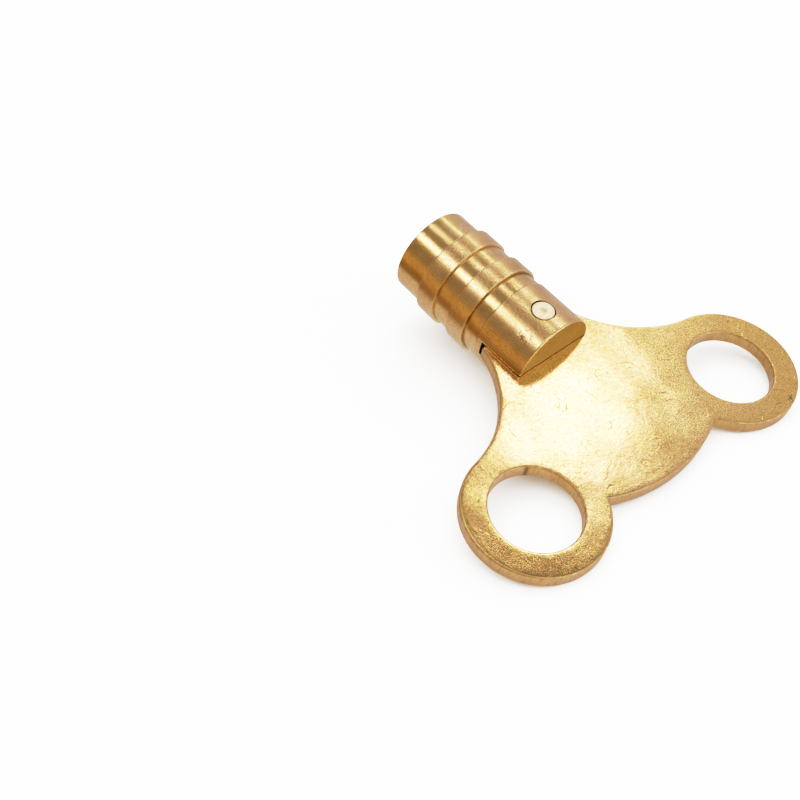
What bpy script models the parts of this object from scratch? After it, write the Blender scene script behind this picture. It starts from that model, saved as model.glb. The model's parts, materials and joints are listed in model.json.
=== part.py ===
"""Clock-type radiator bleed key, in brass, lying at rest on a table.

Three pieces: a stamped wing plate with two finger eyes, a turned socket barrel with a slot in its rear
end that holds the plate, and a cross pin that locks the two together. Metres, +Z up. The wings spread
along X and the barrel points along +Y, its mouth a little raised, because the key stands on its two eyes
and on the rear edge of its barrel. The pieces are drawn about the barrel's axis, with y = 0 at its rear
end face, and an empty on that axis lays them on z = 0.
"""
import math

import bmesh
import bpy
from mathutils import Matrix, Vector

MM = 0.001

# The whole key
OVERALL_LENGTH = 37.25 * MM
BAR_RADIUS = 5.0 * MM

# Socket barrel, measured forward from its rear end face
BARREL_LENGTH = 18.2 * MM
CHEEK_END = 6.15 * MM
REAR_RING = (7.9 * MM, 10.2 * MM)
FRONT_RING = (12.3 * MM, 14.7 * MM)
RING_RADIUS = 5.25 * MM
REAR_GROOVE_RADIUS = 4.85 * MM
FRONT_GROOVE_RADIUS = 4.92 * MM
MOUTH_LAND_RADIUS = 4.8 * MM
EDGE_BREAK = 0.08 * MM

# Socket: pilot bore, countersink and the broached square that notches them
PILOT_RADIUS = 3.2 * MM
PILOT_DEPTH = 10.8 * MM
DRILL_POINT_ANGLE = math.radians(118)
COUNTERSINK_RADIUS = 4.25 * MM
COUNTERSINK_DEPTH = 1.1 * MM
SQUARE_ACROSS_FLATS = 5.6 * MM
SQUARE_DEPTH = 9.0 * MM
SQUARE_CORNER_ANGLE = math.radians(-11)

# Wing plate
PLATE_THICKNESS = 1.5 * MM
EYE_CENTRE_X = 14.4 * MM
EYE_RADIUS = 7.2 * MM
EYE_HOLE_RADIUS = 4.55 * MM
NECK_RADIUS = 12.9 * MM
WAIST_HALF_WIDTH = 4.9 * MM
BULGE_RADIUS = 18.6 * MM
BULGE_INSET = 2.05 * MM
PLATE_EDGE_ROUND = 0.14 * MM

# Joint between plate and barrel
SLOT_DEPTH = 5.35 * MM
SLOT_SIDE_GAP = 0.1 * MM
SLOT_END_GAP = 0.5 * MM
PIN_FORWARD = 2.77 * MM
PIN_RADIUS = 1.2 * MM
PIN_GAP = 0.1 * MM
PIN_TOP = 4.93 * MM
PIN_BOTTOM = -2.6 * MM
PIN_CHAMFER = 0.12 * MM

# Facets
BARREL_SEGMENTS = 96
HOLE_SEGMENTS = 64
PIN_SEGMENTS = 40
ARC_STEP = math.radians(6)
BULGE_STEP = math.radians(3)
CUTTER_EXCESS = 1.0 * MM
WELD_DISTANCE = 0.001 * MM

# Places that follow from the sizes
REAR_LIMIT = BARREL_LENGTH - OVERALL_LENGTH
EYE_CENTRE = Vector((EYE_CENTRE_X, REAR_LIMIT + EYE_RADIUS))
BULGE_CENTRE = Vector((0.0, REAR_LIMIT + BULGE_INSET + BULGE_RADIUS))
PLATE_FRONT = SLOT_DEPTH - SLOT_END_GAP

# At rest the barrel's rear edge and the eyes' rear edges touch the ground
REST_RISE = BAR_RADIUS - PLATE_THICKNESS / 2
REST_RUN = EDGE_BREAK - REAR_LIMIT - PLATE_EDGE_ROUND
REST_TILT = math.atan2(REST_RISE, REST_RUN)


def clear_scene():
    for obj in list(bpy.data.objects):
        bpy.data.objects.remove(obj, do_unlink=True)


def brass(name, colour, roughness):
    material = bpy.data.materials.new(name)
    material.use_nodes = True
    shader = material.node_tree.nodes["Principled BSDF"]
    shader.inputs["Base Color"].default_value = (*colour, 1.0)
    shader.inputs["Metallic"].default_value = 1.0
    shader.inputs["Roughness"].default_value = roughness
    return material


def add_object(name, bm, parent, material=None):
    """Turn a bmesh into a named object under the key's axis."""
    bmesh.ops.recalc_face_normals(bm, faces=bm.faces)
    mesh = bpy.data.meshes.new(name)
    bm.to_mesh(mesh)
    bm.free()
    obj = bpy.data.objects.new(name, mesh)
    bpy.context.scene.collection.objects.link(obj)
    obj.parent = parent
    if material:
        mesh.materials.append(material)
        mesh.shade_smooth()
        mesh.set_sharp_from_angle(angle=math.radians(35))
    return obj


def cut(target, cutter):
    """Subtract a hidden cutter from a piece."""
    cutter.hide_render = True
    cutter.display_type = "WIRE"
    modifier = target.modifiers.new(cutter.name, "BOOLEAN")
    modifier.operation = "DIFFERENCE"
    modifier.object = cutter


def turned(profile, segments):
    """Revolve (along, radius) points about the Y axis; the profile starts and ends on the axis."""
    bm = bmesh.new()
    rings = []
    for along, radius in profile:
        if radius == 0:
            rings.append([bm.verts.new((0, along, 0))])
            continue
        angles = [2 * math.pi * i / segments for i in range(segments)]
        rings.append([bm.verts.new((radius * math.cos(a), along, radius * math.sin(a))) for a in angles])
    for ring, following in zip(rings, rings[1:]):
        for i in range(segments):
            j = (i + 1) % segments
            corners = [ring[i % len(ring)], ring[j % len(ring)]]
            corners += [following[j % len(following)], following[i % len(following)]]
            bm.faces.new(list(dict.fromkeys(corners)))
    return bm


def arc(centre, radius, start, end, step):
    """Points along an arc, both ends included."""
    count = max(1, math.ceil(abs(end - start) / step))
    angles = [start + (end - start) * i / count for i in range(count + 1)]
    return [centre + Vector((math.cos(a), math.sin(a))) * radius for a in angles]


def angle_of(vector):
    return math.atan2(vector.y, vector.x)


def right_half_outline():
    """The plate's edge from the front corner round the right eye to the middle of the rear bulge."""
    neck_x = WAIST_HALF_WIDTH + NECK_RADIUS
    reach = EYE_RADIUS + NECK_RADIUS
    neck_y = EYE_CENTRE.y + math.sqrt(reach ** 2 - (neck_x - EYE_CENTRE.x) ** 2)
    neck_centre = Vector((neck_x, neck_y))
    front_angle = math.pi + math.asin((neck_y - PLATE_FRONT) / NECK_RADIUS)
    tangent_angle = angle_of(EYE_CENTRE - neck_centre) % (2 * math.pi)

    # the sharp notch lies where the eye's circle crosses the bulge's circle, behind their centre line
    link = BULGE_CENTRE - EYE_CENTRE
    along = (link.length ** 2 + EYE_RADIUS ** 2 - BULGE_RADIUS ** 2) / (2 * link.length)
    across = math.sqrt(EYE_RADIUS ** 2 - along ** 2)
    direction = link.normalized()
    notch = EYE_CENTRE + direction * along + Vector((-direction.y, direction.x)) * across

    points = arc(neck_centre, NECK_RADIUS, front_angle, tangent_angle, ARC_STEP)
    stops = [tangent_angle - math.pi, 0.0, -math.pi / 2, angle_of(notch - EYE_CENTRE)]
    for start, end in zip(stops, stops[1:]):
        points += arc(EYE_CENTRE, EYE_RADIUS, start, end, ARC_STEP)[1:]
    points += arc(BULGE_CENTRE, BULGE_RADIUS, angle_of(notch - BULGE_CENTRE), -math.pi / 2, BULGE_STEP)[1:]
    return points


def add_loop(bm, points, height):
    verts = [bm.verts.new((p.x, p.y, height)) for p in points]
    return [bm.edges.new((a, b)) for a, b in zip(verts, verts[1:] + verts[:1])]


def circle_points(centre, radius, segments):
    return arc(centre, radius, 0.0, 2 * math.pi, 2 * math.pi / segments)[:-1]


def flat_faces(bm, loops, height):
    """Fill the first loop with triangles, leaving the others open as holes."""
    edges = [edge for points in loops for edge in add_loop(bm, points, height)]
    filled = bmesh.ops.triangle_fill(bm, use_beauty=True, edges=edges)
    return [item for item in filled["geom"] if isinstance(item, bmesh.types.BMFace)]


def make_wing_plate(parent):
    right = right_half_outline()
    left = [Vector((-p.x, p.y)) for p in reversed(right[:-1])]
    eyes = [Vector((side * EYE_CENTRE.x, EYE_CENTRE.y)) for side in (1, -1)]
    eye_holes = [circle_points(eye, EYE_HOLE_RADIUS, HOLE_SEGMENTS) for eye in eyes]
    pin_hole = circle_points(Vector((0.0, PIN_FORWARD)), PIN_RADIUS + PIN_GAP, PIN_SEGMENTS)

    # the tongue inside the slot and the open wings are filled apart, so no facet runs from one to the other
    tongue_points = sum(p.y > 0 for p in right) + 1
    tongue = right[:tongue_points] + left[-tongue_points:]
    wings = right[tongue_points - 1 :] + left[: len(left) - tongue_points + 1]
    bm = bmesh.new()
    bottom = -PLATE_THICKNESS / 2
    faces = flat_faces(bm, [tongue, pin_hole], bottom) + flat_faces(bm, [wings] + eye_holes, bottom)
    bmesh.ops.remove_doubles(bm, verts=bm.verts, dist=WELD_DISTANCE)
    raised = bmesh.ops.extrude_face_region(bm, geom=list(bm.faces))
    top = [item for item in raised["geom"] if isinstance(item, bmesh.types.BMVert)]
    bmesh.ops.translate(bm, verts=top, vec=(0, 0, PLATE_THICKNESS))
    bmesh.ops.recalc_face_normals(bm, faces=bm.faces)
    rims = [e for e in bm.edges if is_rim(e)]
    bmesh.ops.bevel(
        bm, geom=rims, offset=PLATE_EDGE_ROUND, offset_type="OFFSET", segments=2, profile=0.5, affect="EDGES"
    )
    return add_object("wing_plate", bm, parent, brass("plate_brass", (0.72, 0.53, 0.23), 0.42))


def is_rim(edge):
    """True where a flat face of the plate meets its sheared side."""
    upright = [abs(face.normal.z) > 0.5 for face in edge.link_faces]
    return len(upright) == 2 and upright[0] != upright[1]


def barrel_profile():
    """(along, radius) from the middle of the rear face, round the outside, to the drill point."""
    e = EDGE_BREAK
    profile = [(0, 0), (0, BAR_RADIUS - e), (e, BAR_RADIUS), (CHEEK_END - e, BAR_RADIUS)]
    profile += [(CHEEK_END, BAR_RADIUS - e), (CHEEK_END, REAR_GROOVE_RADIUS)]
    for (start, end), before, after in (
        (REAR_RING, REAR_GROOVE_RADIUS, FRONT_GROOVE_RADIUS),
        (FRONT_RING, FRONT_GROOVE_RADIUS, MOUTH_LAND_RADIUS),
    ):
        profile += [(start, before), (start, RING_RADIUS - e), (start + e, RING_RADIUS)]
        profile += [(end - e, RING_RADIUS), (end, RING_RADIUS - e), (end, after)]
    drill_point = PILOT_RADIUS / math.tan(DRILL_POINT_ANGLE / 2)
    profile += [
        (BARREL_LENGTH - e, MOUTH_LAND_RADIUS),
        (BARREL_LENGTH, MOUTH_LAND_RADIUS - e),
        (BARREL_LENGTH, COUNTERSINK_RADIUS),
        (BARREL_LENGTH - COUNTERSINK_DEPTH, PILOT_RADIUS),
        (BARREL_LENGTH - PILOT_DEPTH, PILOT_RADIUS),
        (BARREL_LENGTH - PILOT_DEPTH - drill_point, 0),
    ]
    return profile


def box_between(low, high):
    bm = bmesh.new()
    bmesh.ops.create_cube(bm, size=1.0)
    low, high = Vector(low), Vector(high)
    bm.transform(Matrix.Translation((low + high) / 2) @ Matrix.Diagonal(high - low).to_4x4())
    return bm


def make_socket_barrel(parent):
    body = turned(barrel_profile(), BARREL_SEGMENTS)
    barrel = add_object("socket_barrel", body, parent, brass("barrel_brass", (0.66, 0.44, 0.19), 0.24))

    half_slot = PLATE_THICKNESS / 2 + SLOT_SIDE_GAP
    reach = BAR_RADIUS + CUTTER_EXCESS
    slot = box_between((-reach, -CUTTER_EXCESS, -half_slot), (reach, SLOT_DEPTH, half_slot))
    cut(barrel, add_object("slot_cutter", slot, parent))

    half_square = SQUARE_ACROSS_FLATS / 2
    start, end = BARREL_LENGTH - SQUARE_DEPTH, BARREL_LENGTH + CUTTER_EXCESS
    square = box_between((-half_square, start, -half_square), (half_square, end, half_square))
    corner_turn = math.radians(45) - SQUARE_CORNER_ANGLE
    square.transform(Matrix.Rotation(corner_turn, 4, "Y"))
    cut(barrel, add_object("square_broach", square, parent))

    hole = upright_pin(PIN_BOTTOM - PIN_GAP, BAR_RADIUS + CUTTER_EXCESS, PIN_RADIUS + PIN_GAP, 0.0)
    cut(barrel, add_object("pin_drill", hole, parent))
    return barrel


def upright_pin(bottom, top, radius, chamfer):
    """A round pin along Z at the pin's place, with a chamfer on its upper end when one is asked for."""
    profile = [(bottom, 0), (bottom, radius), (top - chamfer, radius)]
    if chamfer:
        profile.append((top, radius - chamfer))
    profile.append((top, 0))
    bm = turned(profile, PIN_SEGMENTS)
    bm.transform(Matrix.Translation((0, PIN_FORWARD, 0)) @ Matrix.Rotation(math.radians(90), 4, "X"))
    return bm


def make_cross_pin(parent):
    pin = upright_pin(PIN_BOTTOM, PIN_TOP, PIN_RADIUS, PIN_CHAMFER)
    return add_object("cross_pin", pin, parent, brass("pin_brass", (0.80, 0.66, 0.40), 0.35))


def lay_on_ground(key_axis, pieces):
    """Tilt the key into its rest and stand the middle of its bounding box's foot on the origin."""
    key_axis.rotation_euler.x = REST_TILT
    bpy.context.view_layer.update()
    points = [piece.matrix_world @ vertex.co for piece in pieces for vertex in piece.data.vertices]
    low = [min(point[i] for point in points) for i in range(3)]
    high = [max(point[i] for point in points) for i in range(3)]
    key_axis.location = (-(low[0] + high[0]) / 2, -(low[1] + high[1]) / 2, -low[2])


def main():
    clear_scene()
    key_axis = bpy.data.objects.new("key_axis", None)
    bpy.context.scene.collection.objects.link(key_axis)
    pieces = [make_wing_plate(key_axis), make_socket_barrel(key_axis), make_cross_pin(key_axis)]
    lay_on_ground(key_axis, pieces)


main()
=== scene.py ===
"""Looks for the radiator bleed key: three detailed brass pieces on a pale studio floor.

Every piece is drawn in the key's own frame, in metres, with the barrel's axis along Y, y = 0 at the
barrel's rear end face and +Z out of the plate's pinned side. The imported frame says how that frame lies.
"""
import json
import math

import bmesh
import bpy
from mathutils import Matrix, Vector, noise


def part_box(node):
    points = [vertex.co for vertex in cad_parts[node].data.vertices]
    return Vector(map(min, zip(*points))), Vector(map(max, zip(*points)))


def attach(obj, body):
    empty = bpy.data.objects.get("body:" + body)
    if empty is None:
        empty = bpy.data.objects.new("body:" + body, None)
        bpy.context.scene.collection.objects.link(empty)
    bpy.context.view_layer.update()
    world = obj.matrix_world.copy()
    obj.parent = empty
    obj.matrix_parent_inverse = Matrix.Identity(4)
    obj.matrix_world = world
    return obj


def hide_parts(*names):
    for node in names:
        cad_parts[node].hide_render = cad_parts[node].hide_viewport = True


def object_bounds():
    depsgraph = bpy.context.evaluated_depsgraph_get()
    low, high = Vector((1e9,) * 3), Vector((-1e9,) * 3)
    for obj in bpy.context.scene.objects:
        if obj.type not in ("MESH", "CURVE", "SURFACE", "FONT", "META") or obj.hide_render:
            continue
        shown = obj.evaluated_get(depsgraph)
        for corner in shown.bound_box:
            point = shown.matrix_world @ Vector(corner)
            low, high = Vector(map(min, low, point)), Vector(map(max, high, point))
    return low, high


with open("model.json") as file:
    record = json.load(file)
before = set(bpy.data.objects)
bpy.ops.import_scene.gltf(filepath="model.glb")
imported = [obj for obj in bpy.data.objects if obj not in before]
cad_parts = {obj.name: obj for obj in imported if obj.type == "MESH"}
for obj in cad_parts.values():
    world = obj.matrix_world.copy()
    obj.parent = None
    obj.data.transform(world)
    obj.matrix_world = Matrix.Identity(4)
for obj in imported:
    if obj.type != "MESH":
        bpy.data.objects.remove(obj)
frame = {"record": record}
cad_low, cad_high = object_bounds()

MM = 0.001

# Socket barrel, measured forward from its rear end face
BAR_RADIUS = 5.0 * MM
BARREL_LENGTH = 18.2 * MM
CHEEK_END = 6.15 * MM
REAR_RING = (7.9 * MM, 10.2 * MM)
FRONT_RING = (12.3 * MM, 14.7 * MM)
RING_RADIUS = 5.25 * MM
REAR_GROOVE_RADIUS = 4.85 * MM
FRONT_GROOVE_RADIUS = 4.92 * MM
MOUTH_LAND_RADIUS = 4.8 * MM
CAD_EDGE_BREAK = 0.08 * MM
REAR_EDGE_ROUND = 0.2 * MM
CHEEK_EDGE_ROUND = 0.15 * MM
RING_REAR_ROUND = 0.06 * MM
RING_FRONT_ROUND = 0.2 * MM
MOUTH_EDGE_ROUND = 0.12 * MM
GROOVE_CORNER_ROUND = 0.05 * MM
BURR_EDGE = 0.035 * MM

# Socket
PILOT_RADIUS = 3.2 * MM
PILOT_DEPTH = 10.8 * MM
DRILL_POINT_ANGLE = math.radians(118)
COUNTERSINK_RADIUS = 4.25 * MM
COUNTERSINK_DEPTH = 1.1 * MM
SQUARE_ACROSS_FLATS = 5.6 * MM
SQUARE_DEPTH = 9.0 * MM
SQUARE_CORNER_ANGLE = math.radians(-11)

# Wing plate
PLATE_THICKNESS = 1.5 * MM
PLATE_REAR = -19.05 * MM
EYE_CENTRE_X = 14.4 * MM
EYE_RADIUS = 7.2 * MM
EYE_HOLE_RADIUS = 4.55 * MM
NECK_RADIUS = 12.9 * MM
WAIST_HALF_WIDTH = 4.9 * MM
BULGE_RADIUS = 18.6 * MM
BULGE_INSET = 2.05 * MM
PLATE_EDGE_ROUND = 0.16 * MM

# Joint between plate and barrel
SLOT_DEPTH = 5.35 * MM
SLOT_SIDE_GAP = 0.1 * MM
SLOT_END_GAP = 0.5 * MM
PIN_FORWARD = 2.77 * MM
PIN_RADIUS = 1.2 * MM
PIN_GAP = 0.1 * MM
PIN_TOP = 4.93 * MM
PIN_BOTTOM = -2.6 * MM
PIN_CHAMFER = 0.12 * MM

DIMPLE_RADIUS = 0.4 * MM
DIMPLE_DEPTH = 0.05 * MM

# Sheared side of the plate, and how its upper face rolls down towards it
ROLL_WIDTH = 0.5 * MM
ROLL_DEPTH = 0.006 * MM
ROLL_STEPS = 4
SLOT_ROLL_SHARE = 0.1
# heights of the rows of points down its straight part, as shares of that part's half height
SIDE_ROWS = (0.6, 0.3, 0.0, -0.35, -0.7)
# how torn it is at the middle of the plate's thickness, as a share that grows downwards
MIDDLE_TEAR = 0.6
RIDGE_SIZE = 0.45 * MM
RIDGE_DEPTH = 0.03 * MM
WAVE_SIZE = 1.3 * MM
WAVE_DEPTH = 0.015 * MM

# Fineness of the meshes
BARREL_SEGMENTS = 240
PIN_SEGMENTS = 96
OUTLINE_STEP = 0.25 * MM
CORNER_STEPS = 6
SHARP_ANGLE = math.radians(35)
SNAP = 0.002 * MM
SUPPORT_DISTANCE = 0.06 * MM
CUTTER_EXCESS = 1.0 * MM

# Studio and camera, seen from the key
FLOOR_SIZE = 6.0
LIGHT_DISTANCE = 0.8
FLOOR_FILL = 3.2
BRIGHT_SIDE_BANDS = (
    (-90, (0.76, 0.72, 0.68)),
    (-30, (0.66, 0.63, 0.66)),
    (20, (0.64, 0.61, 0.70)),
    (46, (0.88, 0.88, 0.82)),
    (59, (0.31, 0.29, 0.26)),
    (80, (0.30, 0.28, 0.26)),
)
DARK_SIDE_BANDS = (
    (-90, (0.76, 0.72, 0.68)),
    (-33, (0.76, 0.72, 0.70)),
    (-26, (0.34, 0.19, 0.07)),
    (-13, (0.34, 0.19, 0.07)),
    (-4, (0.62, 0.41, 0.15)),
    (8, (0.62, 0.41, 0.15)),
    (20, (0.34, 0.27, 0.18)),
    (80, (0.28, 0.22, 0.15)),
)
SHOULDER_START = 0.6
SHOULDER_END = 4.0
SHOULDER_STEPS = 12
SHOULDER_SOFTNESS = 0.68
CAMERA_LENS = 56.586
CAMERA_AIM = Vector((-11.79, 9.67, 0.04)) * MM
CAMERA_DISTANCE = 129.4 * MM
CAMERA_AZIMUTH = -42.03
CAMERA_ELEVATION = 43.36
CAMERA_ROLL = -0.2835

EYE_CENTRE = Vector((EYE_CENTRE_X, PLATE_REAR + EYE_RADIUS))
BULGE_CENTRE = Vector((0.0, PLATE_REAR + BULGE_INSET + BULGE_RADIUS))
PLATE_FRONT = SLOT_DEPTH - SLOT_END_GAP
PLATE_MIDDLE = (0.0, -8.0, 0.0)
PIN_END = (0.0, PIN_FORWARD / MM, PIN_TOP / MM)

# Where two marks lie on this key, in the key's millimetres
CHEEK_PITS = (-3.1, 1.9, 3.9)
EYE_WALL_TEAR = (-11.86, -8.08, 0.0)

# Colours that several materials share
WORN_BRASS = (0.90, 0.68, 0.36)
FLOOR_WHITE = (0.93, 0.93, 0.93)

# The order of each piece's materials
SHEET, SHEARED = range(2)
SKIN, TURNED, SAWN, BORE, SLOT = range(5)


def find_key_frame():
    """The key's own frame: its tilt from the mouth's axis, its place from the barrel's box."""
    mouth = next(m for m in frame["record"]["mounts"] if m["name"] == "mouth_rim")
    tilt = math.atan2(mouth["axis"][2], mouth["axis"][1])
    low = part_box("socket_barrel")[0]
    rear_y = low.y + (BAR_RADIUS - CAD_EDGE_BREAK) * math.sin(tilt)
    axis_z = low.z + BAR_RADIUS * math.cos(tilt) - CAD_EDGE_BREAK * math.sin(tilt)
    return Matrix.Translation((0, rear_y, axis_z)) @ Matrix.Rotation(tilt, 4, "X")


KEY_FRAME = find_key_frame()


# ---------------------------------------------------------------- materials


def add_node(tree, kind, inputs=None, **settings):
    """Add a shader node, set its properties and feed its inputs from values or from other nodes' sockets."""
    made = tree.nodes.new("ShaderNode" + kind)
    for name, value in settings.items():
        setattr(made, name, value)
    for name, value in (inputs or {}).items():
        if isinstance(value, bpy.types.NodeSocket):
            tree.links.new(value, made.inputs[name])
        else:
            made.inputs[name].default_value = value
    return made


def math_node(tree, operation, first, second):
    made = add_node(tree, "Math", operation=operation)
    for socket, value in zip(made.inputs, (first, second)):
        if isinstance(value, bpy.types.NodeSocket):
            tree.links.new(value, socket)
        else:
            socket.default_value = value
    return made.outputs[0]


def noise_value(tree, coords, scale, detail=3.0, roughness=0.55):
    """Noise with `scale` features to the millimetre, which may differ along the three axes."""
    stretch = scale if isinstance(scale, tuple) else (scale,) * 3
    stretched = add_node(tree, "Mapping", {"Vector": coords, "Scale": stretch})
    inputs = {"Vector": stretched.outputs[0], "Scale": 1.0, "Detail": detail, "Roughness": roughness}
    return add_node(tree, "TexNoise", inputs).outputs[0]


def remap(tree, value, low, high, to_low=0.0, to_high=1.0):
    inputs = {"Value": value, "From Min": low, "From Max": high, "To Min": to_low, "To Max": to_high}
    return add_node(tree, "MapRange", inputs).outputs[0]


def blend(tree, share, first, second, mode="MIX"):
    made = add_node(tree, "MixRGB", blend_type=mode)
    for name, value in (("Fac", share), ("Color1", first), ("Color2", second)):
        if isinstance(value, bpy.types.NodeSocket):
            tree.links.new(value, made.inputs[name])
        else:
            made.inputs[name].default_value = value if name == "Fac" else (*value, 1.0)
    return made.outputs[0]


def distance_to(tree, coords, place):
    """How far the position is from a place, both in millimetres."""
    return add_node(tree, "VectorMath", {0: coords, 1: place}, operation="DISTANCE").outputs["Value"]


def axis_value(tree, coords, axis):
    return add_node(tree, "SeparateXYZ", {"Vector": coords}).outputs[axis]


def without_axis(tree, coords, kept):
    """The position with the axes that `kept` holds a 0 for left out."""
    return add_node(tree, "VectorMath", {0: coords, 1: kept}, operation="MULTIPLY").outputs[0]


def wear_value(tree):
    """The share of wear that the mesh carries on its edges."""
    return add_node(tree, "Attribute", attribute_name="wear").outputs["Fac"]


def new_metal(name):
    """A metal, with the position in millimetres in the key's frame: (material, tree, shader, coords)."""
    material = bpy.data.materials.new(name)
    material.use_nodes = True
    tree = material.node_tree
    shader = tree.nodes["Principled BSDF"]
    shader.inputs["Metallic"].default_value = 1.0
    place = add_node(tree, "TexCoord").outputs["Object"]
    key_axis = {"Location": KEY_FRAME.translation, "Rotation": KEY_FRAME.to_euler(), "Scale": (MM, MM, MM)}
    on_key = add_node(tree, "Mapping", {"Vector": place, **key_axis}, vector_type="TEXTURE")
    return material, tree, shader, on_key.outputs[0]


def connect(tree, shader, colour, roughness, normal):
    """Feed a metal's colour, roughness and normal to its shader."""
    tree.links.new(colour, shader.inputs["Base Color"])
    tree.links.new(roughness, shader.inputs["Roughness"])
    tree.links.new(normal, shader.inputs["Normal"])


def scratches(tree, coords, angles, fineness, share):
    """Sparse hairline scratches that run in several directions across the XY plane."""
    total = 0.0
    for number, angle in enumerate(angles):
        turned_coords = add_node(
            tree, "Mapping", {"Vector": coords, "Rotation": (0, 0, angle), "Location": (7.3 * number, 0, 0)}
        )
        lines = noise_value(tree, turned_coords.outputs[0], (0.35, fineness, 0.35), detail=2.0)
        total = math_node(tree, "ADD", total, remap(tree, lines, 1 - share, 1 - share + 0.06))
    return total


def bump(tree, height, distance, normal=None):
    inputs = {"Height": height, "Distance": distance, "Strength": 1.0}
    if normal:
        inputs["Normal"] = normal
    return add_node(tree, "Bump", inputs).outputs[0]


def tarnished_colour(tree, coords, clean, tarnish, patches, speckle):
    """Clean metal with tarnish in soft patches broken up by fine speckle."""
    cloud = noise_value(tree, coords, patches, detail=4.0)
    fine = noise_value(tree, coords, speckle, detail=4.0, roughness=0.7)
    mixed = math_node(tree, "ADD", cloud, math_node(tree, "MULTIPLY", fine, 0.8))
    return blend(tree, remap(tree, mixed, 0.65, 1.15), clean, tarnish), fine


def curved_scratches(tree, coords, size, width, share):
    """Sparse hairlines that wander like the contour lines of a noise, `size` to the millimetre."""
    contour = math_node(tree, "SUBTRACT", noise_value(tree, coords, size, detail=1.0), 0.5)
    line = remap(tree, math_node(tree, "ABSOLUTE", contour, 0.0), 0.0, width, 1.0, 0.0)
    kept = remap(tree, noise_value(tree, coords, size * 1.7, detail=0.0), 1 - share, 1 - share + 0.04)
    return math_node(tree, "MULTIPLY", line, kept)


def rolled_sheet_brass():
    """The plate's two faces: rolled, with a fine grain, darkening from the middle out to the eyes with
    tarnish and painted shade.
    """
    material, tree, shader, coords = new_metal("rolled_sheet_brass")
    colour, fine = tarnished_colour(tree, coords, (0.88, 0.60, 0.29), (0.72, 0.44, 0.15), 0.28, 4.5)
    # darker out towards the eyes: partly tarnish, partly painted shade where the plate's highlight falls off
    eye_tarnish_and_shade = remap(tree, distance_to(tree, coords, PLATE_MIDDLE), 10.0, 20.0, 0.0, 0.85)
    colour = blend(tree, eye_tarnish_and_shade, colour, (0.70, 0.43, 0.125))
    rosy = remap(tree, noise_value(tree, coords, 1.3, detail=6.0, roughness=0.75), 0.47, 0.55, 0.0, 0.7)
    colour = blend(tree, rosy, colour, (0.84, 0.47, 0.22))
    olive = remap(tree, noise_value(tree, coords, 1.9, detail=6.0, roughness=0.75), 0.52, 0.62, 0.0, 0.5)
    colour = blend(tree, olive, colour, (0.60, 0.41, 0.115))
    grain = noise_value(tree, coords, 6.5, detail=3.0, roughness=0.7)
    colour = blend(tree, 1.0, colour, remap(tree, grain, 0.38, 0.58, 0.64, 1.08), "MULTIPLY")
    specks = remap(tree, noise_value(tree, coords, 3.4, detail=3.0), 0.64, 0.70, 0.0, 0.7)
    marks = curved_scratches(tree, coords, 0.35, 0.009, 0.395)
    dark = math_node(tree, "MAXIMUM", specks, math_node(tree, "MULTIPLY", marks, 0.75))
    colour = blend(tree, dark, colour, (0.13, 0.075, 0.035))
    colour = blend(tree, math_node(tree, "MULTIPLY", wear_value(tree), 0.4), colour, WORN_BRASS)

    hairlines = math_node(tree, "ADD", scratches(tree, coords, (0.35, 1.25, 2.4), 9.0, 0.28), marks)
    normal = bump(tree, noise_value(tree, coords, 0.16, detail=1.0), 0.08 * MM)
    normal = bump(tree, noise_value(tree, coords, 1.1, detail=2.0), 0.008 * MM, normal)
    normal = bump(tree, noise_value(tree, coords, 9.0, detail=3.0, roughness=0.7), 0.003 * MM, normal)
    normal = bump(tree, math_node(tree, "MULTIPLY", hairlines, -1.0), 0.003 * MM, normal)
    connect(tree, shader, colour, remap(tree, fine, 0.3, 0.7, 0.12, 0.21), normal)
    return material


def sheared_edge_brass():
    """The plate's sheared sides: coppery, drawn by the punch into upright streaks, duller where they tore."""
    material, tree, shader, coords = new_metal("sheared_edge_brass")
    streaks = noise_value(tree, coords, (3.5, 3.5, 0.5), detail=5.0, roughness=0.75)
    colour, fine = tarnished_colour(tree, coords, (0.90, 0.60, 0.255), (0.71, 0.43, 0.16), 0.6, 3.0)
    colour = blend(tree, remap(tree, streaks, 0.50, 0.62, 0.0, 0.55), colour, (0.40, 0.21, 0.08))
    low_down = math_node(tree, "ADD", axis_value(tree, coords, "Z"), streaks)
    colour = blend(tree, remap(tree, low_down, 0.9, 0.1, 0.0, 0.45), colour, (0.50, 0.28, 0.10))
    from_tear = distance_to(tree, without_axis(tree, coords, (1.0, 1.0, 0.0)), EYE_WALL_TEAR)
    colour = blend(tree, remap(tree, from_tear, 0.08, 0.32, 0.8, 0.0), colour, (0.16, 0.07, 0.03))
    edge = wear_value(tree)
    rubbed = remap(tree, noise_value(tree, coords, 1.6, detail=3.0), 0.56, 0.64, 0.0, 0.8)
    colour = blend(tree, math_node(tree, "MULTIPLY", edge, 0.55), colour, (0.46, 0.28, 0.11))
    colour = blend(tree, math_node(tree, "MULTIPLY", edge, rubbed), colour, WORN_BRASS)

    walls_roughness = remap(tree, fine, 0.3, 0.7, 0.26, 0.42)
    roughness = math_node(tree, "MAXIMUM", walls_roughness, math_node(tree, "MULTIPLY", edge, 0.55))
    normal = bump(tree, streaks, 0.035 * MM)
    normal = bump(tree, noise_value(tree, coords, 2.2, detail=3.0), 0.03 * MM, normal)
    connect(tree, shader, colour, roughness, normal)
    return material


def closeness(tree, coords, places, reach):
    """1 where the position along the barrel is at one of these places, falling to 0 at `reach` from it."""
    along = axis_value(tree, coords, "Y")
    nearest = BARREL_LENGTH / MM
    for place in places:
        gap = math_node(tree, "ABSOLUTE", math_node(tree, "SUBTRACT", along, place / MM), 0.0)
        nearest = math_node(tree, "MINIMUM", nearest, gap)
    return remap(tree, nearest, 0.0, reach / MM, 1.0, 0.0)


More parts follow.
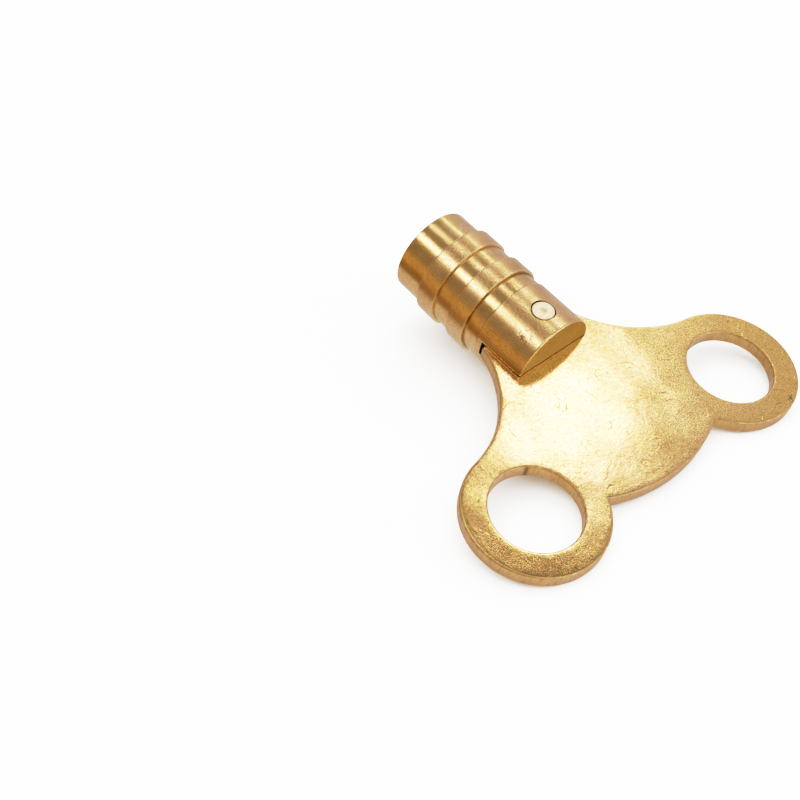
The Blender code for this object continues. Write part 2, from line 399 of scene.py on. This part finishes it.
def pits_value(tree, coords):
    """1 in the bar's pits: a few single ones, and the cluster on the cheek."""
    cells = add_node(tree, "TexVoronoi", {"Vector": coords, "Scale": 1.3})
    cell_number = add_node(tree, "SeparateColor", {"Color": cells.outputs["Color"]}).outputs[0]
    chosen = remap(tree, cell_number, 0.93, 0.94)
    dots = remap(tree, cells.outputs["Distance"], 0.05, 0.10, 1.0, 0.0)
    near_cluster = remap(tree, distance_to(tree, coords, CHEEK_PITS), 0.5, 0.9, 1.0, 0.0)
    cluster = remap(tree, noise_value(tree, coords, 2.6, detail=1.0), 0.56, 0.61)
    single = math_node(tree, "MULTIPLY", chosen, dots)
    return math_node(tree, "MAXIMUM", single, math_node(tree, "MULTIPLY", cluster, near_cluster))


def bar_stock_brass():
    """The bar's original skin on the rings and cheeks: drawn, mottled, with small pits and worn edges."""
    material, tree, shader, coords = new_metal("bar_stock_brass")
    speckle = (5.0, 2.2, 5.0)
    colour, fine = tarnished_colour(tree, coords, (0.87, 0.58, 0.28), (0.66, 0.39, 0.15), 0.5, speckle)
    worn = closeness(tree, coords, [0.0, CHEEK_END, *REAR_RING, *FRONT_RING], 0.22 * MM)
    colour = blend(tree, math_node(tree, "MULTIPLY", worn, 0.55), colour, (0.90, 0.68, 0.34))
    pits = pits_value(tree, coords)
    colour = blend(tree, math_node(tree, "MULTIPLY", pits, 0.8), colour, (0.20, 0.10, 0.04))

    normal = bump(tree, noise_value(tree, coords, 0.5, detail=2.0), 0.005 * MM)
    normal = bump(tree, noise_value(tree, coords, (9.0, 0.8, 9.0), detail=3.0), 0.004 * MM, normal)
    normal = bump(tree, fine, 0.0015 * MM, normal)
    normal = bump(tree, math_node(tree, "MULTIPLY", pits, -1.0), 0.02 * MM, normal)
    connect(tree, shader, colour, remap(tree, fine, 0.3, 0.7, 0.19, 0.33), normal)
    return material


def turned_brass():
    """Freshly turned surfaces: bright, with fine rings round the barrel and painted shade in the corners."""
    material, tree, shader, coords = new_metal("turned_brass")
    colour, fine = tarnished_colour(tree, coords, (0.83, 0.56, 0.26), (0.67, 0.40, 0.14), 0.6, 2.4)
    # painted shade: the metal is darkened close to each step, at the foot where the groove meets the ring
    corners = closeness(tree, coords, [CHEEK_END, *REAR_RING, *FRONT_RING], 0.08 * MM)
    across = without_axis(tree, coords, (1.0, 0.0, 1.0))
    radius = add_node(tree, "VectorMath", {0: across}, operation="LENGTH").outputs["Value"]
    groove = REAR_GROOVE_RADIUS / MM
    shaded_foot = remap(tree, radius, groove + 0.05, groove + 0.17, 1.0, 0.0)
    painted_corner_shade = math_node(tree, "MULTIPLY", math_node(tree, "MULTIPLY", corners, shaded_foot), 0.85)
    colour = blend(tree, painted_corner_shade, colour, (0.12, 0.06, 0.02))

    rings = noise_value(tree, coords, (0.12, 16.0, 0.12), detail=3.0, roughness=0.6)
    coarse_rings = noise_value(tree, coords, (0.1, 3.0, 0.1), detail=1.0)
    normal = bump(tree, coarse_rings, 0.006 * MM, bump(tree, rings, 0.004 * MM))
    connect(tree, shader, colour, remap(tree, fine, 0.3, 0.7, 0.15, 0.24), normal)
    return material


def sawn_brass():
    """The cheeks' end faces: parted off, duller than the turned lands."""
    material, tree, shader, coords = new_metal("sawn_brass")
    colour, fine = tarnished_colour(tree, coords, (0.75, 0.57, 0.17), (0.61, 0.45, 0.11), 0.6, 3.0)
    saw_marks = noise_value(tree, coords, (1.0, 1.0, 9.0), detail=3.0)
    roughness = remap(tree, fine, 0.3, 0.7, 0.28, 0.38)
    connect(tree, shader, colour, roughness, bump(tree, saw_marks, 0.006 * MM))
    return material


def painted_shade_slot_brass():
    """Inside the slot and the pin's hole: sawn metal, painted near black as the shade in these narrow gaps.
    """
    material, tree, shader, coords = new_metal("painted_shade_slot_brass")
    # painted shade: these dark colours stand in for the shade inside the slot and the pin's hole
    colour, fine = tarnished_colour(tree, coords, (0.26, 0.15, 0.055), (0.14, 0.075, 0.03), 0.6, 3.0)
    connect(tree, shader, colour, remap(tree, fine, 0.3, 0.7, 0.35, 0.5), bump(tree, fine, 0.01 * MM))
    return material


def bore_brass():
    """Inside the socket: drilled and broached metal, with painted shade deeper in."""
    material, tree, shader, coords = new_metal("bore_brass")
    # painted shade: darker from just inside the mouth inwards
    painted_bore_shade = remap(tree, axis_value(tree, coords, "Y"), 17.6, 16.6)
    colour, fine = tarnished_colour(tree, coords, (0.80, 0.55, 0.24), (0.62, 0.37, 0.13), 0.8, 3.0)
    colour = blend(tree, painted_bore_shade, colour, (0.30, 0.16, 0.07))
    rings = noise_value(tree, coords, (0.3, 9.0, 0.3), detail=2.0)
    connect(tree, shader, colour, remap(tree, fine, 0.3, 0.7, 0.22, 0.34), bump(tree, rings, 0.012 * MM))
    return material


def pin_brass():
    """The cross pin's paler metal, dressed flat on its end."""
    material, tree, shader, coords = new_metal("pin_brass")
    colour, fine = tarnished_colour(tree, coords, (0.95, 0.78, 0.48), (0.86, 0.62, 0.34), 0.9, 4.0)
    off_axis = math_node(tree, "ADD", distance_to(tree, coords, PIN_END), fine)
    colour = blend(tree, remap(tree, off_axis, 0.66, 0.92, 0.4, 0.0), colour, (0.58, 0.36, 0.17))
    normal = bump(tree, noise_value(tree, coords, 1.6, detail=2.0), 0.02 * MM)
    normal = bump(tree, noise_value(tree, coords, 12.0, detail=3.0), 0.004 * MM, normal)
    connect(tree, shader, colour, remap(tree, fine, 0.3, 0.7, 0.26, 0.38), normal)
    return material


# ---------------------------------------------------------------- mesh helpers


def new_object(name, bm, materials):
    """Lay something drawn in the key's frame where the key lies."""
    bm.transform(KEY_FRAME)
    mesh = bpy.data.meshes.new(name)
    bm.to_mesh(mesh)
    bm.free()
    for material in materials:
        mesh.materials.append(material)
    obj = bpy.data.objects.new(name, mesh)
    bpy.context.scene.collection.objects.link(obj)
    return obj


def show_piece(obj, node):
    """Make an object a shown piece of the key that stands for its CAD node."""
    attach(obj, "root")
    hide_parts(node)


def cut(target, cutter):
    modifier = target.modifiers.new(cutter.name, "BOOLEAN")
    modifier.operation = "DIFFERENCE"
    modifier.material_mode = "TRANSFER"
    modifier.object = cutter


def settle_cuts(obj, cutters):
    """Replace an object's mesh by the one that its modifiers make, then drop the cutters."""
    bpy.context.view_layer.update()
    evaluated = obj.evaluated_get(bpy.context.evaluated_depsgraph_get())
    made = bpy.data.meshes.new_from_object(evaluated)
    obj.modifiers.clear()
    obj.data = made
    for cutter in cutters:
        bpy.data.objects.remove(cutter, do_unlink=True)


def box_between(low, high):
    bm = bmesh.new()
    bmesh.ops.create_cube(bm, size=1.0)
    low, high = Vector(low), Vector(high)
    bm.transform(Matrix.Translation((low + high) / 2) @ Matrix.Diagonal(high - low).to_4x4())
    return bm


def turned(corners, segments, material_of=lambda along, radius: 0):
    """Revolve (along, radius, round) corners about Y; material_of gives the material of each stretch."""
    profile = supported(rounded(corners))
    bm = bmesh.new()
    rings = []
    for along, radius in profile:
        count = segments if radius > 0 else 1
        angles = [2 * math.pi * i / count for i in range(count)]
        rings.append([bm.verts.new((radius * math.cos(a), along, radius * math.sin(a))) for a in angles])
    for start, end, ring, following in zip(profile, profile[1:], rings, rings[1:]):
        index = material_of(*((start + end) / 2))
        for i in range(segments):
            j = (i + 1) % segments
            around = [ring[i % len(ring)], ring[j % len(ring)]]
            around += [following[j % len(following)], following[i % len(following)]]
            face = bm.faces.new(list(dict.fromkeys(around)))
            face.material_index = index
            face.smooth = True
    bmesh.ops.recalc_face_normals(bm, faces=bm.faces)
    return bm


def rounded(corners):
    """Turn (along, radius, round) corners into points, with each corner rounded by that much."""
    points = []
    for number, (along, radius, size) in enumerate(corners):
        corner = Vector((along, radius))
        if size == 0:
            points.append(corner)
            continue
        before = Vector(corners[number - 1][:2])
        after = Vector(corners[number + 1][:2])
        start = corner + (before - corner).normalized() * size
        end = corner + (after - corner).normalized() * size
        for step in range(CORNER_STEPS + 1):
            share = step / CORNER_STEPS
            points.append(start.lerp(corner, share).lerp(corner.lerp(end, share), share))
    return points


def supported(points):
    """Add points just inside both ends of each long stretch, so that it shades as straight as it is."""
    held = [points[0]]
    for start, end in zip(points, points[1:]):
        length = (end - start).length
        if length > 4 * SUPPORT_DISTANCE:
            held.append(start.lerp(end, SUPPORT_DISTANCE / length))
            held.append(end.lerp(start, SUPPORT_DISTANCE / length))
        held.append(end)
    return held


# ---------------------------------------------------------------- wing plate


def arc(centre, radius, start, end):
    """Evenly spaced points along an arc, without its first point."""
    count = math.ceil(abs(end - start) * radius / OUTLINE_STEP)
    angles = [start + (end - start) * i / count for i in range(1, count + 1)]
    return [centre + Vector((math.cos(a), math.sin(a))) * radius for a in angles]


def angle_of(vector):
    return math.atan2(vector.y, vector.x)


def plate_outline():
    """The plate's closed edge, anticlockwise seen from +Z."""
    neck_x = WAIST_HALF_WIDTH + NECK_RADIUS
    reach = EYE_RADIUS + NECK_RADIUS
    neck_y = EYE_CENTRE.y + math.sqrt(reach**2 - (neck_x - EYE_CENTRE.x) ** 2)
    neck_centre = Vector((neck_x, neck_y))
    front_angle = math.pi + math.asin((neck_y - PLATE_FRONT) / NECK_RADIUS)
    tangent_angle = angle_of(EYE_CENTRE - neck_centre) % (2 * math.pi)

    # the sharp notch lies where the eye's circle crosses the bulge's circle, behind their centre line
    link = BULGE_CENTRE - EYE_CENTRE
    along = (link.length**2 + EYE_RADIUS**2 - BULGE_RADIUS**2) / (2 * link.length)
    across = math.sqrt(EYE_RADIUS**2 - along**2)
    direction = link.normalized()
    notch = EYE_CENTRE + direction * along + Vector((-direction.y, direction.x)) * across

    right = [neck_centre + Vector((math.cos(front_angle), math.sin(front_angle))) * NECK_RADIUS]
    right += arc(neck_centre, NECK_RADIUS, front_angle, tangent_angle)
    right += arc(EYE_CENTRE, EYE_RADIUS, tangent_angle - math.pi, angle_of(notch - EYE_CENTRE))
    right += arc(BULGE_CENTRE, BULGE_RADIUS, angle_of(notch - BULGE_CENTRE), -math.pi / 2)
    left = [Vector((-p.x, p.y)) for p in reversed(right[:-1])]
    return list(reversed(right + left))


def hole_outline(centre, radius):
    """A hole's edge, clockwise, so that the metal is on its left as it is for the plate's outline."""
    return arc(centre, radius, 2 * math.pi, 0.0)


def moved_inwards(outline, distances):
    """Move each point of a closed outline to its left, into the metal, by its distance."""
    moved = []
    neighbours = zip(outline[-1:] + outline[:-1], outline, outline[1:] + outline[:1])
    for (before, point, after), distance in zip(neighbours, distances):
        first = (point - before).normalized()
        second = (after - point).normalized()
        left = Vector((-first.y - second.y, first.x + second.x)).normalized()
        moved.append(point + left * distance / left.dot(Vector((-first.y, first.x))))
    return moved


def tear_depth(place, height):
    """How far the sheared side dips there: waves near the top, torn upright ridges lower down."""
    torn = min(1.0, max(0.0, MIDDLE_TEAR - height / PLATE_THICKNESS))
    ridge = abs(noise.noise(Vector((place.x, place.y, 0.0)) / RIDGE_SIZE))
    wave = abs(noise.noise(Vector((place.x, place.y, height)) / WAVE_SIZE))
    return RIDGE_DEPTH * ridge * torn + WAVE_DEPTH * wave


def roll_share(place):
    """How wide the rolled edge is there, as a share: full on the open wings, slight inside the slot."""
    return SLOT_ROLL_SHARE + (1 - SLOT_ROLL_SHARE) * min(1.0, max(0.0, -place.y / MM))


def add_side(bm, wear, outline):
    """Build one sheared side between its two rounded edges; returns its top and bottom loops of edges."""
    half = PLATE_THICKNESS / 2
    quarter = [math.pi / 2 * step / CORNER_STEPS for step in range(CORNER_STEPS + 1)]
    edge = [(PLATE_EDGE_ROUND * (1 - math.sin(a)), PLATE_EDGE_ROUND * (1 - math.cos(a))) for a in quarter]
    rows = []
    for step in range(ROLL_STEPS):
        share = step / ROLL_STEPS
        rows.append((PLATE_EDGE_ROUND, ROLL_WIDTH * (1 - share), half - ROLL_DEPTH * share**2))
    rows += [(distance, 0.0, half - ROLL_DEPTH - drop) for distance, drop in edge]
    rows += [(0.0, 0.0, share * (half - PLATE_EDGE_ROUND)) for share in SIDE_ROWS]
    rows += [(distance, 0.0, drop - half) for distance, drop in reversed(edge)]

    loops = []
    for distance, roll, height in rows:
        rounding = distance / PLATE_EDGE_ROUND
        distances = []
        for point in outline:
            rolled = distance + roll * roll_share(point)
            distances.append(rolled + (1 - rounding) * tear_depth(point, height))
        loops.append([bm.verts.new((p.x, p.y, height)) for p in moved_inwards(outline, distances)])
        for vertex in loops[-1]:
            vertex[wear] = 4 * rounding * (1 - rounding)
    for number, (upper, lower) in enumerate(zip(loops, loops[1:])):
        for i in range(len(outline)):
            face = bm.faces.new((upper[i - 1], lower[i - 1], lower[i], upper[i]))
            face.smooth = True
            face.material_index = SHEARED if number >= ROLL_STEPS else SHEET
    return [ring_edges(bm, loop) for loop in (loops[0], loops[-1])]


def ring_edges(bm, loop):
    return [bm.edges.get((loop[i - 1], loop[i])) for i in range(len(loop))]


def make_wing_plate():
    outlines = [plate_outline(), hole_outline(Vector((0.0, PIN_FORWARD)), PIN_RADIUS + PIN_GAP)]
    for side in (1, -1):
        outlines.append(hole_outline(Vector((side * EYE_CENTRE.x, EYE_CENTRE.y)), EYE_HOLE_RADIUS))
    bm = bmesh.new()
    wear = bm.verts.layers.float.new("wear")
    sides = [add_side(bm, wear, outline) for outline in outlines]
    for loops in zip(*sides):
        bmesh.ops.triangle_fill(bm, use_beauty=True, edges=[edge for loop in loops for edge in loop])
    bmesh.ops.recalc_face_normals(bm, faces=bm.faces)
    plate = new_object("brass_wing_plate", bm, [rolled_sheet_brass(), sheared_edge_brass()])
    show_piece(plate, "wing_plate")


# ---------------------------------------------------------------- socket barrel


def barrel_corners():
    """(along, radius, round) from the middle of the rear face, round the outside, to the drill point."""
    corners = [(0, 0, 0), (0, BAR_RADIUS, REAR_EDGE_ROUND), (CHEEK_END, BAR_RADIUS, CHEEK_EDGE_ROUND)]
    corners.append((CHEEK_END, REAR_GROOVE_RADIUS, GROOVE_CORNER_ROUND))
    for (start, end), before, after in (
        (REAR_RING, REAR_GROOVE_RADIUS, FRONT_GROOVE_RADIUS),
        (FRONT_RING, FRONT_GROOVE_RADIUS, MOUTH_LAND_RADIUS),
    ):
        corners.append((start, before, GROOVE_CORNER_ROUND))
        corners.append((start, RING_RADIUS, RING_REAR_ROUND))
        corners.append((end, RING_RADIUS, RING_FRONT_ROUND))
        corners.append((end, after, GROOVE_CORNER_ROUND))
    drill_point = PILOT_RADIUS / math.tan(DRILL_POINT_ANGLE / 2)
    corners += [
        (BARREL_LENGTH, MOUTH_LAND_RADIUS, MOUTH_EDGE_ROUND),
        (BARREL_LENGTH, COUNTERSINK_RADIUS, GROOVE_CORNER_ROUND),
        (BARREL_LENGTH - COUNTERSINK_DEPTH, PILOT_RADIUS, GROOVE_CORNER_ROUND),
        (BARREL_LENGTH - PILOT_DEPTH, PILOT_RADIUS, 0),
        (BARREL_LENGTH - PILOT_DEPTH - drill_point, 0, 0),
    ]
    return corners


def barrel_material(along, radius):
    """Which material a stretch of the barrel's profile has."""
    if radius < COUNTERSINK_RADIUS:
        return SAWN if along == 0 else BORE
    skin_radius = RING_RADIUS - RING_FRONT_ROUND
    if along < CHEEK_END:
        skin_radius = BAR_RADIUS - CHEEK_EDGE_ROUND
    return SKIN if radius > skin_radius else TURNED


def make_socket_barrel():
    materials = [bar_stock_brass(), turned_brass(), sawn_brass(), bore_brass(), painted_shade_slot_brass()]
    blank = turned(barrel_corners(), BARREL_SEGMENTS, barrel_material)
    barrel = new_object("brass_socket_barrel", blank, materials)

    half_slot = PLATE_THICKNESS / 2 + SLOT_SIDE_GAP
    reach = BAR_RADIUS + CUTTER_EXCESS
    slot = box_between((-reach, -CUTTER_EXCESS, -half_slot), (reach, SLOT_DEPTH, half_slot))

    half_square = SQUARE_ACROSS_FLATS / 2
    start, end = BARREL_LENGTH - SQUARE_DEPTH, BARREL_LENGTH + CUTTER_EXCESS
    square = box_between((-half_square, start, -half_square), (half_square, end, half_square))
    square.transform(Matrix.Rotation(math.radians(45) - SQUARE_CORNER_ANGLE, 4, "Y"))

    hole_radius = PIN_RADIUS + PIN_GAP
    bottom, top = PIN_BOTTOM - PIN_GAP, BAR_RADIUS + CUTTER_EXCESS
    hole_corners = [(bottom, 0, 0), (bottom, hole_radius, 0), (top, hole_radius, 0), (top, 0, 0)]
    drill = turned(hole_corners, PIN_SEGMENTS)
    stand_at_pin(drill)

    cutters = [
        new_object("slot_saw", slot, [materials[SLOT]]),
        new_object("square_broach", square, [materials[BORE]]),
        new_object("pin_drill", drill, [materials[SLOT]]),
    ]
    for cutter in cutters:
        cut(barrel, cutter)
    settle_cuts(barrel, cutters)
    barrel.data.set_sharp_from_angle(angle=SHARP_ANGLE)
    break_slot_edges(barrel, half_slot)
    even = barrel.modifiers.new("even_shading", "WEIGHTED_NORMAL")
    even.keep_sharp = True
    show_piece(barrel, "socket_barrel")


def break_slot_edges(barrel, half_slot):
    """Take the burr off the long edges where the slot's walls meet the bar's skin and its end face."""
    bm = bmesh.new()
    bm.from_mesh(barrel.data)
    bm.transform(KEY_FRAME.inverted())
    edges = [e for e in bm.edges if e.calc_face_angle(0) > SHARP_ANGLE and is_slot_edge(e, half_slot)]
    shape = {"offset": BURR_EDGE, "offset_type": "OFFSET", "segments": 2, "profile": 0.5}
    bmesh.ops.bevel(bm, geom=edges, affect="EDGES", **shape)
    bm.transform(KEY_FRAME)
    bm.to_mesh(barrel.data)
    bm.free()


def is_slot_edge(edge, half_slot):
    """True on the long edges of the slot's walls, which stop at its inner end."""
    return all(abs(abs(v.co.z) - half_slot) < SNAP and v.co.y < SLOT_DEPTH - SNAP for v in edge.verts)


# ---------------------------------------------------------------- cross pin


def stand_at_pin(bm):
    """Turn something drawn along Y to stand along Z at the pin's place."""
    bm.transform(Matrix.Translation((0, PIN_FORWARD, 0)) @ Matrix.Rotation(math.radians(90), 4, "X"))


def make_cross_pin():
    corners = [
        (PIN_BOTTOM, 0, 0),
        (PIN_BOTTOM, PIN_RADIUS, PIN_CHAMFER),
        (PIN_TOP, PIN_RADIUS, PIN_CHAMFER),
        (PIN_TOP, DIMPLE_RADIUS, DIMPLE_DEPTH),
        (PIN_TOP - DIMPLE_DEPTH, 0, 0),
    ]
    bm = turned(corners, PIN_SEGMENTS)
    stand_at_pin(bm)
    pin = new_object("brass_cross_pin", bm, [pin_brass()])
    pin.data.set_sharp_from_angle(angle=SHARP_ANGLE)
    show_piece(pin, "cross_pin")


# ---------------------------------------------------------------- stage


def direction_to(azimuth, elevation):
    """Unit vector at these degrees, azimuth measured from +Y towards +X."""
    across = math.cos(math.radians(elevation))
    turn = math.radians(azimuth)
    return Vector((across * math.sin(turn), across * math.cos(turn), math.sin(math.radians(elevation))))


def softbox(name, azimuth, elevation, width, height, radiance):
    """A soft light seen from the key at these degrees, of this angular width and height in degrees."""
    light = bpy.data.lights.new(name, "AREA")
    light.shape = "RECTANGLE"
    light.size = 2 * LIGHT_DISTANCE * math.tan(math.radians(width / 2))
    light.size_y = 2 * LIGHT_DISTANCE * math.tan(math.radians(height / 2))
    light.energy = 4 * radiance * light.size * light.size_y
    obj = bpy.data.objects.new(name, light)
    bpy.context.scene.collection.objects.link(obj)
    outwards = direction_to(azimuth, elevation)
    facing = outwards.to_track_quat("Z", "Y").to_matrix().to_4x4()
    obj.matrix_world = Matrix.Translation(key_centre() + outwards * LIGHT_DISTANCE) @ facing
    return obj


def key_centre():
    return (Vector(cad_low) + Vector(cad_high)) / 2


def make_floor():
    """A white floor. The metal mirrors the room below the horizon in its place, and so isn't washed out."""
    bm = bmesh.new()
    bmesh.ops.create_grid(bm, x_segments=1, y_segments=1, size=FLOOR_SIZE / 2)
    mesh = bpy.data.meshes.new("floor")
    bm.to_mesh(mesh)
    bm.free()
    material = bpy.data.materials.new("pale_floor")
    material.use_nodes = True
    shader = material.node_tree.nodes["Principled BSDF"]
    shader.inputs["Base Color"].default_value = (*FLOOR_WHITE, 1.0)
    shader.inputs["Roughness"].default_value = 0.9
    mesh.materials.append(material)
    floor = bpy.data.objects.new("floor", mesh)
    bpy.context.scene.collection.objects.link(floor)
    floor.location.z = cad_low[2]
    floor.visible_glossy = False


def height_bands(tree, height, bands):
    """A colour for each elevation in degrees, blended from band to band; height is the sine of elevation."""
    ramp = add_node(tree, "ValToRGB", {"Fac": remap(tree, height, -1.0, 1.0)})
    elements = ramp.color_ramp.elements
    while len(elements) < len(bands):
        elements.new(0.5)
    for element, (elevation, colour) in zip(elements, bands):
        element.position = (math.sin(math.radians(elevation)) + 1) / 2
        element.color = (*colour, 1.0)
    return ramp.outputs[0]


def make_room():
    """The room that the brass mirrors: a bright side at +X, a darker one at -X with something brown below."""
    world = bpy.data.worlds.new("room")
    bpy.context.scene.world = world
    world.use_nodes = True
    tree = world.node_tree
    way = add_node(tree, "SeparateXYZ", {"Vector": add_node(tree, "TexCoord").outputs["Generated"]})
    bright_side = height_bands(tree, way.outputs["Z"], BRIGHT_SIDE_BANDS)
    dark_side = height_bands(tree, way.outputs["Z"], DARK_SIDE_BANDS)
    room = blend(tree, remap(tree, way.outputs["X"], -0.3, 0.3), dark_side, bright_side)
    tree.links.new(room, tree.nodes["Background"].inputs["Color"])


def make_lights():
    softbox("window_key", 80, 54.8, 5.5, 5.5, 9.4)
    softbox("camera_side", 168, 9, 64, 14, 3.5)
    softbox("overhead", -150, 72, 26, 20, 1.8)
    softbox("window_sill", 68, 43.5, 16, 2.5, 4.2)
    softbox("ceiling_strip", 45, 74, 24, 3, 4.8)
    softbox("side_box", -64, 58, 22, 11, 4.6)
    fill = softbox("floor_fill", 0, 90, 100, 100, FLOOR_FILL)
    fill.visible_glossy = False


def set_tones():
    """Show colours as a camera does, with a soft shoulder towards white."""
    settings = bpy.context.scene.view_settings
    settings.view_transform = "Standard"
    settings.use_curve_mapping = True
    mapping = settings.curve_mapping
    mapping.white_level = (SHOULDER_END, SHOULDER_END, SHOULDER_END)
    curve = mapping.curves[3]
    for brightness in (SHOULDER_START / 2, SHOULDER_START):
        curve.points.new(brightness / SHOULDER_END, brightness)
    for step in range(1, SHOULDER_STEPS):
        over = (SHOULDER_END - SHOULDER_START) * (step / SHOULDER_STEPS) ** 2
        shown = 1 - (1 - SHOULDER_START) * math.exp(-over / SHOULDER_SOFTNESS)
        curve.points.new((SHOULDER_START + over) / SHOULDER_END, shown)
    mapping.update()


def make_camera():
    data = bpy.data.cameras.new("camera")
    data.lens = CAMERA_LENS
    data.clip_start = MM
    camera = bpy.data.objects.new("camera", data)
    bpy.context.scene.collection.objects.link(camera)
    outwards = direction_to(180 - CAMERA_AZIMUTH, CAMERA_ELEVATION)
    facing = (-outwards).to_track_quat("-Z", "Y").to_matrix().to_4x4()
    roll = Matrix.Rotation(math.radians(CAMERA_ROLL), 4, "Z")
    camera.matrix_world = Matrix.Translation(CAMERA_AIM + outwards * CAMERA_DISTANCE) @ facing @ roll
    bpy.context.scene.camera = camera


make_wing_plate()
make_socket_barrel()
make_cross_pin()
make_floor()
make_room()
make_lights()
make_camera()
set_tones()
